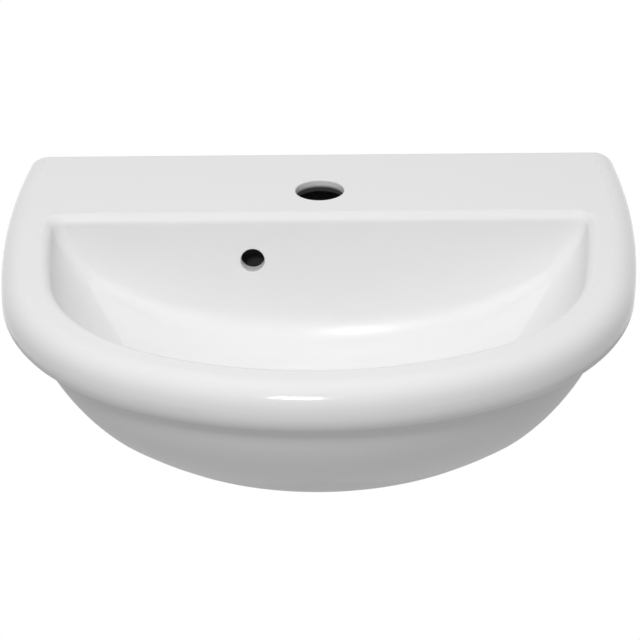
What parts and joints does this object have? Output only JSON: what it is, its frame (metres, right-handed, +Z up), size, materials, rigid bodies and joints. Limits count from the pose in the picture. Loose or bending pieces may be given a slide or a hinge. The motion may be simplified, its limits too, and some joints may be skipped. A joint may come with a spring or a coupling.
{
  "type": "wall hung basin",
  "caption": "White glazed D-shaped basin hung on wall bolts, with a half-moon bowl, a flat rear deck with a tap hole, an overflow and a push-down waste plug.",
  "frame": {"origin": "on the wall's face, midway between the two wall fixings, which sit 65 mm below the deck", "axes": "+X to the right for someone facing the wall, +Y into the wall, +Z up"},
  "size_m": [0.448, 0.431, 0.165],
  "materials": {
    "china": "glossy white glaze",
    "chrome": "polished",
    "rubber": "matt black",
    "nylon": "natural nylon",
    "grey_plastic": "moulded",
    "brass": "turned",
    "spring_steel": "drawn wire",
    "zinc_steel": "zinc plated"
  },
  "bodies": {
    "fixed": {"basin": "china", "waste_body": "chrome", "waste_flange_seal": "rubber", "waste_underside_washer": "rubber", "waste_slip_washer": "nylon", "waste_back_nut": "grey_plastic", "click_cartridge": "brass", "cartridge_cap": "brass", "latch_spring": "spring_steel", "wall_plug_left": "grey_plastic", "hanger_bolt_left": "zinc_steel", "fixing_sleeve_left": "nylon", "fixing_washer_left": "zinc_steel", "fixing_nut_left": "zinc_steel", "wall_plug_right": "grey_plastic", "hanger_bolt_right": "zinc_steel", "fixing_sleeve_right": "nylon", "fixing_washer_right": "zinc_steel", "fixing_nut_right": "zinc_steel"},
    "plug": {"plunger": "brass", "plug_core": "grey_plastic", "plug_seal": "rubber", "plug_cap": "chrome"}
  },
  "joints": [
    {"name": "plug_lift", "type": "slide", "parent": "fixed", "child": "plug", "axis": [0, 0, 1], "range_m": [0, 0.009], "deforming": ["latch_spring"]}
  ]
}
